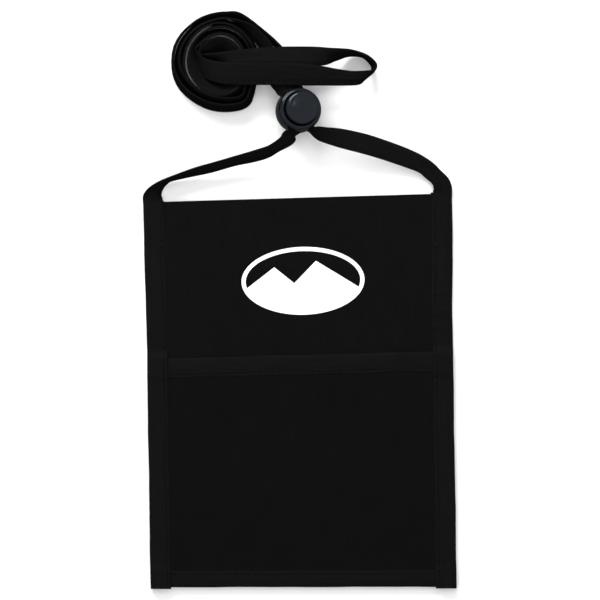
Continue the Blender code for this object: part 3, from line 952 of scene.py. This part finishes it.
def settled_panel(name, low, high, level, pinned, slack, peak, seed):
    """Heights in mm, on a grid, of a slack panel that is sewn down where pinned(x, y) says.

    The panel is simulated ten times life size over the layer below it."""
    columns = round((high[0] - low[0]) / GRID) + 1
    rows = round((high[1] - low[1]) / GRID) + 1
    xs, ys = np.linspace(low[0], high[0], columns), np.linspace(low[1], high[1], rows)
    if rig.quick():
        return xs, ys, np.full((rows, columns), level)
    wave = random.Random(seed)
    hills = [(wave.uniform(-1, 1), wave.uniform(-1, 1), wave.uniform(0, 6)) for _ in range(5)]
    points, held = [], []
    for j, y in enumerate(ys):
        for i, x in enumerate(xs):
            fixed = pinned(x, y)
            start = sum(math.sin(a * x / 9 + b * y / 11 + c) for a, b, c in hills) * 0.25
            z = 0 if fixed else 0.5 + abs(start)
            points.append((x * CLOTH_SCALE, y * CLOTH_SCALE, z * CLOTH_SCALE))
            if fixed:
                held.append(j * columns + i)
    cloth = new_object(name, points, grid_faces(columns, rows))
    group = cloth.vertex_groups.new(name="sewn")
    group.add(held, 1.0, "REPLACE")
    edge = 2.0 * CLOTH_SCALE * POUCH_END
    drop = -LAYER_DROP * CLOTH_SCALE
    under = new_object(
        f"{name}_layer_below",
        [(-edge, -edge, drop), (edge, -edge, drop), (edge, edge, drop), (-edge, edge, drop)],
        [(0, 1, 2, 3)],
    )
    under.modifiers.new("contact", "COLLISION")
    under.collision.thickness_outer = 0.002
    under.collision.cloth_friction = 20
    modifier = cloth.modifiers.new("cloth", "CLOTH")
    for key, value in CLOTH_SETTINGS.items():
        setattr(modifier.settings, key, value)
    modifier.settings.shrink_min = -slack
    modifier.collision_settings.distance_min = 0.002
    modifier.collision_settings.use_self_collision = False
    modifier.point_cache.frame_start = 1
    modifier.point_cache.frame_end = CLOTH_FRAMES
    scene = bpy.context.scene
    for step in range(1, CLOTH_FRAMES + 1):
        scene.frame_set(step)
        bpy.context.view_layer.update()
    evaluated = cloth.evaluated_get(bpy.context.evaluated_depsgraph_get())
    heights = np.array([v.co.z for v in evaluated.data.vertices]).reshape(rows, columns) / CLOTH_SCALE
    for thing in (cloth, under):
        mesh = thing.data
        bpy.data.objects.remove(thing, do_unlink=True)
        bpy.data.meshes.remove(mesh)
    scene.frame_set(1)
    free = np.array([[not pinned(x, y) for x in xs] for y in ys])
    heights = np.where(free, heights + LAYER_DROP, heights)
    heights = peak * np.tanh(np.maximum(heights, 0) / peak)
    return xs, ys, level + heights


def height_at(field, x, y):
    """Height in mm of a settled panel at x, y, straight between its grid points."""
    xs, ys, heights = field
    i = min(max(int((x - xs[0]) / (xs[1] - xs[0])), 0), len(xs) - 2)
    j = min(max(int((y - ys[0]) / (ys[1] - ys[0])), 0), len(ys) - 2)
    s = min(max((x - xs[i]) / (xs[i + 1] - xs[i]), 0), 1)
    t = min(max((y - ys[j]) / (ys[j + 1] - ys[j]), 0), 1)
    near = heights[j, i] * (1 - s) + heights[j, i + 1] * s
    far = heights[j + 1, i] * (1 - s) + heights[j + 1, i + 1] * s
    return near * (1 - t) + far * t


def panel(name, field):
    """A closed panel whose underside is the settled field, in mm."""
    xs, ys, heights = field
    points = [(x * MM, y * MM, heights[j, i] * MM) for j, y in enumerate(ys) for i, x in enumerate(xs)]
    thing = new_object(name, points, grid_faces(len(xs), len(ys)))
    finer = thing.modifiers.new("finer", "SUBSURF")
    finer.levels = finer.render_levels = 1
    finer.boundary_smooth = "PRESERVE_CORNERS"
    solid = thing.modifiers.new("solid", "SOLIDIFY")
    solid.thickness = CLOTH * MM
    solid.offset = 1
    apply_modifiers(thing)
    shade_smooth(thing, 60)
    return thing


SEAM_X = POUCH_HALF - BINDING_WIDTH + PIN_INSIDE
SEAM_Y = BOTTOM_BINDING_WIDTH - PIN_INSIDE - POUCH_END


def edge_sewn(x, y):
    return abs(x) > SEAM_X or y < SEAM_Y


def pocket_sewn(x, y):
    return edge_sewn(x, y) or y > BAND_LOW[1] + PIN_INSIDE


BACK_RISE = 3.0
HUG = 0.06
SEAM_INSET = 1.6
UNDERSIDE_SEAM = 0.06


def back_field():
    """The back panel's underside: on the surface it lies on, and up over the binding's back leg."""
    xs, ys, heights = settled_panel(
        "back_panel_cloth", PANEL_CORNER, (PANEL_HALF, POUCH_END), 0, edge_sewn, 0.0, 0.01, 3
    )
    rim = TAPE + HUG
    for j, y in enumerate(ys):
        for i, x in enumerate(xs):
            inside = min(POUCH_HALF - BINDING_WIDTH - abs(x), y + POUCH_END - BOTTOM_BINDING_WIDTH)
            t = min(max(inside / BACK_RISE, 0), 1)
            heights[j, i] = rim * (1 - t * t * (3 - 2 * t))
    return xs, ys, heights


FRONT_FIELD = settled_panel(
    "front_cloth", PANEL_CORNER, (PANEL_HALF, POUCH_END), FRONT_BASE, edge_sewn, 0.006, 0.32, 11
)
POCKET_FIELD = settled_panel(
    "pocket_cloth", PANEL_CORNER, (PANEL_HALF, POCKET_EDGE), POCKET_BASE, pocket_sewn, 0.004, 0.28, 23
)


def pouch_panels():
    back = finish_piece(panel("back", back_field()), PANEL_CLOTH, "black_cloth", "back_panel")
    front = finish_piece(panel("front", FRONT_FIELD), PANEL_CLOTH, "black_cloth", "front_panel")
    pocket = panel("front_pocket", POCKET_FIELD)
    finish_piece(pocket, POCKET_CLOTH, "black_cloth", "front_pocket_panel")
    width = 2 * PANEL_HALF * MM
    length = (2 * POUCH_END - 1.2) * MM
    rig.sheet(back, flat=(width, length), held="stretched")
    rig.sheet(front, flat=(width, length), held="stretched")
    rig.sheet(pocket, flat=(width, (POCKET_EDGE + POUCH_END - 1.2) * MM), held="stretched")


pouch_panels()


def leg_section(width, low, high):
    """Outline of a tape folded over an edge, as distance in from the fold and height: out over the
    top leg, round the fold, in along the bottom leg, and back inside."""
    middle = (low + high) / 2
    seam = width - SEAM_INSET
    outer = [(width, high - 0.22), (width - 0.15, high - 0.05), (width - 0.7, high), (seam, high - 0.1)]
    outer += [(seam - 0.7, high + 0.02), (width * 0.55, high + 0.04), (2.0, high), (1.0, high - 0.12)]
    outer += [(0.3, high - 0.45), (0.0, middle), (0.3, low + 0.45), (1.0, low + 0.1), (2.0, low)]
    outer += [(width * 0.55, low), (seam - 0.7, low), (seam, low + 0.1), (width - 0.7, low)]
    outer += [(width - 0.15, low + 0.05), (width, low + 0.22)]
    inner = [(width - 0.15, low + TAPE - 0.05), (seam, low + TAPE), (width * 0.55, low + TAPE)]
    inner += [(2.0, low + TAPE), (1.0, low + TAPE + 0.1), (TAPE, middle), (1.0, high - TAPE - 0.1)]
    inner += [(2.0, high - TAPE), (width * 0.55, high - TAPE), (seam, high - TAPE)]
    inner += [(width - 0.15, high - TAPE + 0.05)]
    return np.array(outer + inner)


FRONT_SURFACE = FRONT_TOP + HUG
POCKET_SURFACE = POCKET_TOP + HUG
BAND_SURFACE = POCKET_TOP + 2 * HUG + TAPE
BOTTOM_SURFACE = POCKET_SURFACE + TAPE + HUG


def side_surface(y):
    """Level in mm that the side binding's front leg lies on at y."""
    level = FRONT_SURFACE
    level += (BAND_SURFACE - FRONT_SURFACE) * (1 - ramp(y, BAND_HIGH[1] + 0.2, BAND_HIGH[1] + 2.4))
    level += (POCKET_SURFACE - BAND_SURFACE) * (1 - ramp(y, BAND_LOW[1] - 2.2, BAND_LOW[1] - 0.1))
    bottom_edge = BOTTOM_BINDING_WIDTH - POUCH_END
    level += (BOTTOM_SURFACE - POCKET_SURFACE) * (1 - ramp(y, bottom_edge + 0.1, bottom_edge + 2.4))
    return level


def binding(name, stations, place, section):
    """A folded tape along stations, in mm: place(station, inward, height) puts a section point."""
    rings, flat = [], None
    for at in stations:
        outline = section(at)
        if flat is None:
            steps = np.linalg.norm(np.diff(np.vstack([outline, outline[:1]]), axis=0), axis=1)
            flat = np.concatenate([[0], np.cumsum(steps)])
        rings.append([place(at, w, z) for w, z in outline])
    rings = np.array(rings, dtype=float)
    run = np.abs(np.array(stations, dtype=float) - stations[0])
    return loft(name, rings, run, flat)


def wavy(at, seed, size):
    slow, quick = math.sin(at / 9.1 + seed), 0.3 * math.sin(at / 2.2 + seed)
    return size * (slow + 0.6 * math.sin(at / 4.3 + 2.1 * seed) + quick)


def pleats(sign, y):
    """Small creases across the right-hand binding, as the photo shows there."""
    if sign < 0:
        return 0.05 * math.sin(y / 5.3)
    return sum(0.26 * math.exp(-(((y - at) / 1.3) ** 2)) for at in (29, 35.5, 44, 58, 66))


def side_tape(side, sign):
    stations = list(np.arange(-POUCH_END - 0.7, POUCH_END + 1.6, 1.1))

    def section(y):
        high = side_surface(y) + TAPE
        return leg_section(BINDING_WIDTH + wavy(y, sign + 3, 0.1), 0, high)

    def place(y, inward, z):
        lift = pleats(sign, y) * ramp(inward, 0.5, 4) * (1 if z > 0.9 else 0)
        x = sign * (POUCH_HALF - inward) + wavy(y, sign * 2 + 5, 0.07) * sign
        return x, y, z + lift

    thing = binding(f"{side}_binding", stations, place, section)
    finish_piece(thing, BINDING_TAPE, "black_tape", f"{side}_side_binding")
    rows = []
    seam = POUCH_HALF - BINDING_WIDTH + SEAM_INSET
    for y in every_pitch(2 * POUCH_END - 3, 2.2):
        at = y - POUCH_END
        slope = (side_surface(at + 0.5) - side_surface(at - 0.5), 1)
        normal = (0, -slope[0], slope[1])
        x = sign * seam + wavy(at, sign * 2 + 5, 0.07) * sign
        top = side_surface(at) + TAPE - 0.1 + 0.05 + pleats(sign, at)
        rows.append(((x, at, top), (0, 1, slope[0]), normal))
        rows.append(((x, at, UNDERSIDE_SEAM), (0, 1, 0), (0, 0, -1)))
    sewing = stitches(f"{side}_seam", rows)
    finish_piece(sewing, THREAD, "black_thread", f"{side}_side_seam_thread")
    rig.sheet(
        thing, flat=(2 * BINDING_WIDTH * MM, (2 * POUCH_END + 2.2) * MM), held="folded",
        with_pieces=[sewing],
    )


def bottom_tape():
    half = PANEL_HALF - 1
    stations = list(np.linspace(-half, half, 120))

    def section(x):
        low = (TAPE + HUG) * ramp(abs(x), POUCH_HALF - BINDING_WIDTH - 3.5, POUCH_HALF - BINDING_WIDTH - 0.3)
        return leg_section(BOTTOM_BINDING_WIDTH + wavy(x, 1.7, 0.1), low, POCKET_SURFACE + TAPE)

    def place(x, inward, z):
        return x, inward - POUCH_END + wavy(x, 4.1, 0.06), z

    thing = binding("bottom_tape", stations, place, section)
    finish_piece(thing, BINDING_TAPE, "black_tape", "bottom_binding")
    seam = BOTTOM_BINDING_WIDTH - SEAM_INSET - POUCH_END
    span = 2 * (POUCH_HALF - BINDING_WIDTH)
    rows = []
    for at in every_pitch(span):
        x = at - span / 2
        y = seam + wavy(x, 4.1, 0.06)
        rows.append(((x, y, POCKET_SURFACE + TAPE - 0.05), (1, 0, 0), (0, 0, 1)))
        rows.append(((x, y, UNDERSIDE_SEAM), (1, 0, 0), (0, 0, -1)))
    sewing = finish_piece(stitches("bottom_seam", rows), THREAD, "black_thread", "bottom_seam_thread")
    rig.sheet(thing, flat=(2 * BOTTOM_BINDING_WIDTH * MM, 2 * half * MM), held="folded", with_pieces=[sewing])


def pocket_tape():
    """The band over the pocket's mouth, folded over its edge, slightly higher at the right."""
    width = BAND_HIGH[1] - BAND_LOW[1]
    half = PANEL_HALF - 0.4
    stations = list(np.linspace(-half, half, 120))
    low = POCKET_BASE - HUG - TAPE

    def fold_line(x):
        return BAND_HIGH[1] + 0.5 * x / POUCH_HALF + wavy(x, 2.4, 0.06)

    def section(x):
        return leg_section(width + wavy(x, 0.6, 0.09), low, POCKET_SURFACE + TAPE)

    def place(x, inward, z):
        return x, fold_line(x) - inward, z

    thing = binding("pocket_tape", stations, place, section)
    finish_piece(thing, BINDING_TAPE, "black_tape", "pocket_top_binding")
    span = 2 * (POUCH_HALF - BINDING_WIDTH)
    rows = []
    for at in every_pitch(span):
        x = at - span / 2
        y = fold_line(x) - width + SEAM_INSET
        rows.append(((x, y, POCKET_SURFACE + TAPE - 0.05), (1, 0, 0), (0, 0, 1)))
    sewing = stitches("pocket_band_seam", rows)
    finish_piece(sewing, THREAD, "black_thread", "pocket_band_seam_thread")
    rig.sheet(thing, flat=(2 * width * MM, 2 * half * MM), held="folded", with_pieces=[sewing])


side_tape("left", -1)
side_tape("right", 1)
bottom_tape()
pocket_tape()

# ---- emblem

EMBLEM_CENTRE = (EMBLEM_LOW[:2] + EMBLEM_HIGH[:2]) / 2
EMBLEM_HALF = (EMBLEM_HIGH[:2] - EMBLEM_LOW[:2]) / 2
EMBLEM_RING = 1.9
SHORE = math.radians(14)
RIDGE = [(-13, 6.5), (-4, -1), (6, 9)]
INK_THICKNESS = 0.05
INK_GAP = 0.015


def oval(half, count, start=0.0, end=2 * math.pi):
    angles = [start + (end - start) * i / count for i in range(count)]
    return [(half[0] * math.cos(a), half[1] * math.sin(a)) for a in angles]


def outline_solid(name, loops, low, high):
    """A tall solid of nested flat outlines, in mm, for cutting."""
    data = bpy.data.curves.new(name, "CURVE")
    data.dimensions = "2D"
    data.fill_mode = "BOTH"
    data.extrude = (high - low) / 2 * MM
    for loop in loops:
        spline = data.splines.new("POLY")
        spline.points.add(len(loop) - 1)
        for knot, (x, y) in zip(spline.points, loop):
            knot.co = (x * MM, y * MM, 0, 1)
        spline.use_cyclic_u = True
    flat = bpy.data.objects.new(f"{name}_outline", data)
    mesh = bpy.data.meshes.new_from_object(flat)
    bpy.data.objects.remove(flat)
    bpy.data.curves.remove(data)
    edit = bmesh.new()
    edit.from_mesh(mesh)
    bmesh.ops.remove_doubles(edit, verts=edit.verts, dist=0.00001)
    edit.to_mesh(mesh)
    edit.free()
    mesh.transform(Matrix.Translation((*(EMBLEM_CENTRE * MM), (low + high) / 2 * MM)))
    thing = bpy.data.objects.new(name, mesh)
    bpy.context.scene.collection.objects.link(thing)
    return thing


def printed_emblem():
    """The badge, printed on the settled cloth: cut from a thin skin that follows the panel."""
    reach = EMBLEM_HALF + 1
    xs = np.linspace(EMBLEM_CENTRE[0] - reach[0], EMBLEM_CENTRE[0] + reach[0], 48)
    ys = np.linspace(EMBLEM_CENTRE[1] - reach[1], EMBLEM_CENTRE[1] + reach[1], 28)
    points = [(x, y, height_at(FRONT_FIELD, x, y) + CLOTH + INK_GAP) for y in ys for x in xs]
    skin = new_object("emblem", np.array(points) * MM, grid_faces(len(xs), len(ys)))
    solid = skin.modifiers.new("solid", "SOLIDIFY")
    solid.thickness = INK_THICKNESS * MM
    solid.offset = 1
    inner = EMBLEM_HALF - EMBLEM_RING
    sky = oval(inner, 110, -SHORE, math.pi + SHORE) + RIDGE
    cutter = outline_solid("emblem_cutter", [oval(EMBLEM_HALF, 200), sky], -2, 6)
    cut = skin.modifiers.new("cut", "BOOLEAN")
    cut.operation = "INTERSECT"
    cut.solver = "EXACT"
    cut.object = cutter
    apply_modifiers(skin)
    bpy.data.objects.remove(cutter, do_unlink=True)
    return finish_piece(skin, INK, "white_ink", "printed_emblem")


printed_emblem()

# ---- cord lock parts


def turned(name, profile, steps=144):
    """A closed solid turned from a profile of radius and height that meets the axis twice, in mm."""
    points, rings = [], []
    for r, z in profile:
        if r == 0:
            rings.append([len(points)] * steps)
            points.append((0, 0, z))
        else:
            rings.append(list(range(len(points), len(points) + steps)))
            for k in range(steps):
                angle = 2 * math.pi * k / steps
                points.append((r * math.cos(angle), r * math.sin(angle), z))
    faces = []
    for low, high in zip(rings, rings[1:]):
        for k in range(steps):
            n = (k + 1) % steps
            corners = [low[k], low[n], high[n], high[k]]
            faces.append(tuple(dict.fromkeys(corners)))
    thing = new_object(name, [lock_point(*p) for p in points], faces)
    thing.data.transform(Matrix.Scale(MM, 4))
    face_out(thing)
    return thing


def arc(centre, radii, start, end, count):
    angles = [math.radians(start + (end - start) * i / count) for i in range(count + 1)]
    return [(centre[0] + radii[0] * math.cos(a), centre[1] + radii[1] * math.sin(a)) for a in angles]


def cut_slot(thing, bottom):
    """Cuts the strap's way through, with rounded corners and a softened mouth."""
    half_width, half_height = SLOT_WIDTH / 2, SLOT_HEIGHT / 2
    loop = []
    for corner in range(4):
        sign_x, sign_z = ((1, 1), (-1, 1), (-1, -1), (1, -1))[corner]
        centre = (sign_x * (half_width - SLOT_ROUNDING), sign_z * (half_height - SLOT_ROUNDING))
        loop += arc(centre, (SLOT_ROUNDING, SLOT_ROUNDING), 90 * corner, 90 * corner + 90, 6)
    reach = 2 * LOCK_RADIUS
    points = [lock_point(x, y, bottom + half_height + z) for y in (-reach, reach) for x, z in loop]
    count = len(loop)
    faces = [(k, (k + 1) % count, count + (k + 1) % count, count + k) for k in range(count)]
    faces += [tuple(reversed(range(count))), tuple(range(count, 2 * count))]
    cutter = new_object("slot_cutter", np.array(points) * MM, faces)
    face_out(cutter)
    cut = thing.modifiers.new("slot", "BOOLEAN")
    cut.operation = "DIFFERENCE"
    cut.solver = "EXACT"
    cut.object = cutter
    soften = thing.modifiers.new("soften", "BEVEL")
    soften.width = 0.22 * MM
    soften.segments = 2
    soften.limit_method = "ANGLE"
    soften.angle_limit = math.radians(50)
    apply_modifiers(thing)
    bpy.data.objects.remove(cutter, do_unlink=True)
    shade_smooth(thing, 35)


def lock_body():
    bore = BUTTON_RADIUS + BUTTON_CLEARANCE
    lip, inner_lip = 0.9, 0.3
    profile = [(0, 0)]
    profile += arc((LOCK_BASE_RADIUS, LOCK_WIDEST), (LOCK_RADIUS - LOCK_BASE_RADIUS, LOCK_WIDEST), -90, 0, 26)
    shoulder = (LOCK_RADIUS - LOCK_RIM_RADIUS, LOCK_HEIGHT - lip - LOCK_WIDEST)
    profile += arc((LOCK_RIM_RADIUS, LOCK_WIDEST), shoulder, 6, 84, 12)
    profile += arc((LOCK_RIM_RADIUS - lip, LOCK_HEIGHT - lip), (lip, lip), 0, 90, 8)
    profile += arc((bore + inner_lip, LOCK_HEIGHT - inner_lip), (inner_lip, inner_lip), 90, 180, 5)
    profile += [(bore, LOCK_FLOOR), (0, LOCK_FLOOR)]
    thing = turned("lock_body", profile)
    cut_slot(thing, SLOT_BOTTOM)
    return finish_piece(thing, PLASTIC, "dark_plastic", "toggle_body", body="toggle")


def lock_button():
    """The button, with a raised rim round a slightly crowned face."""
    edge, shoulder, sunk = 1.4, 1.7, 0.25
    face = BUTTON_RADIUS - shoulder
    crown = face - 0.6
    profile = [(0, BUTTON_BOTTOM), (BUTTON_RADIUS, BUTTON_BOTTOM), (BUTTON_RADIUS, BUTTON_TOP - shoulder)]
    profile += arc((BUTTON_RADIUS - edge, BUTTON_TOP - shoulder), (edge, 1.5), 0, 92, 20)
    profile += [(face, BUTTON_TOP - 0.21), (face - 0.3, BUTTON_TOP - 0.245), (crown, BUTTON_TOP - sunk)]
    profile += [(r, BUTTON_TOP - sunk * (r / crown) ** 2) for r in (4.7, 4.0, 3.2, 2.2, 1.1, 0)]
    thing = turned("lock_button", profile)
    cut_slot(thing, BUTTON_SLOT_BOTTOM)
    return finish_piece(thing, PLASTIC, "dark_plastic", "toggle_plunger", body="plunger")


def lock_spring():
    """A coil spring between the body's floor and the button, its end turns closed."""
    half = SPRING_WIRE / 2
    bottom, top = LOCK_FLOOR + half + 0.05, BUTTON_BOTTOM - half - 0.05
    steps, sides = 36 * SPRING_TURNS, 10
    rings = []
    for i in range(steps + 1):
        turn = SPRING_TURNS * i / steps
        share = ramp(turn, 0.6, SPRING_TURNS - 0.6)
        closed = (SPRING_WIRE * min(turn, 1), SPRING_WIRE * max(0, turn - SPRING_TURNS + 1))
        height = bottom + closed[0] + closed[1] + (top - bottom - 2 * SPRING_WIRE) * share
        angle = 2 * math.pi * turn
        radial = np.array([math.cos(angle), math.sin(angle), 0])
        up = np.array([0, 0, 1])
        centre = radial * SPRING_RADIUS + up * height
        ring = []
        for k in range(sides):
            a = 2 * math.pi * k / sides
            ring.append(lock_point(*(centre + half * (radial * math.cos(a) + up * math.sin(a)))))
        rings.append(ring)
    run = np.linspace(0, 2 * math.pi * SPRING_RADIUS * SPRING_TURNS, steps + 1)
    around = np.linspace(0, math.pi * SPRING_WIRE, sides + 1)
    thing = loft("lock_spring", np.array(rings), run, around)
    finish_piece(thing, STEEL, "spring_steel", "toggle_spring", body="toggle")
    axis = LOCK_TILT @ Vector((0, 0, 1))
    length = top - bottom
    anchor = Vector(lock_point(0, 0, bottom)) * MM
    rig.squash(thing, "plunger_press", tuple(axis), tuple(anchor), keep=(length - BUTTON_TRAVEL) / length)


lock_body()
lock_button()
lock_spring()

# ---- floor and light


def floor():
    """A pale floor that throws no light back up on the object."""
    thing = new_object("floor", [(-3, -3, 0), (3, -3, 0), (3, 3, 0), (-3, 3, 0)], [(0, 1, 2, 3)])
    thing.location.z = -0.0002
    thing.visible_glossy = thing.visible_diffuse = False
    thing.data.materials.append(pale_floor("pale_floor"))
    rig.stage(thing)


def sky():
    """An even white dome overhead, dark below the horizon."""
    world = bpy.data.worlds.new("studio")
    world.use_nodes = True
    tree = world.node_tree
    source = tree.nodes.new("ShaderNodeTexCoord")
    split = tree.nodes.new("ShaderNodeSeparateXYZ")
    shade = tree.nodes.new("ShaderNodeMapRange")
    shade.inputs["From Min"].default_value = -0.4
    shade.inputs["From Max"].default_value = -0.05
    shade.inputs["To Min"].default_value = 0.1
    shade.inputs["To Max"].default_value = 0.62
    tree.links.new(source.outputs["Generated"], split.inputs["Vector"])
    tree.links.new(split.outputs["Z"], shade.inputs["Value"])
    tree.links.new(shade.outputs["Result"], tree.nodes["Background"].inputs["Strength"])
    tree.nodes["Background"].inputs["Color"].default_value = (1, 1, 1, 1)
    bpy.context.scene.world = world


def softbox(name, place, aim, size, power):
    data = bpy.data.lights.new(name, "AREA")
    data.shape = "RECTANGLE"
    data.size, data.size_y = size
    data.energy = power
    thing = bpy.data.objects.new(name, data)
    thing.location = place
    thing.rotation_euler = (Vector(aim) - Vector(place)).to_track_quat("-Z", "Y").to_euler()
    thing.visible_camera = False
    bpy.context.scene.collection.objects.link(thing)
    return thing


def lights():
    middle = (0, 0.04, 0)
    softbox("key_light", (-0.32, 1.02, 0.72), (0, 0.1, 0), (0.8, 0.4), 17)
    softbox("front_light", (0.2, 0.85, 1.7), (0, 0.13, 0), (0.45, 0.4), 2)
    top = softbox("top_light", (0, 0, 2.2), middle, (3.4, 3.4), 34)
    top.visible_glossy = False


floor()
sky()
lights()
bpy.context.scene.view_settings.view_transform = "Standard"

low, high = CAD_BOX
shown_low, shown_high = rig.bounds()
with open("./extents.json", "w") as out:
    json.dump({"cad": [list(low), list(high)], "shown": [list(shown_low), list(shown_high)]}, out)
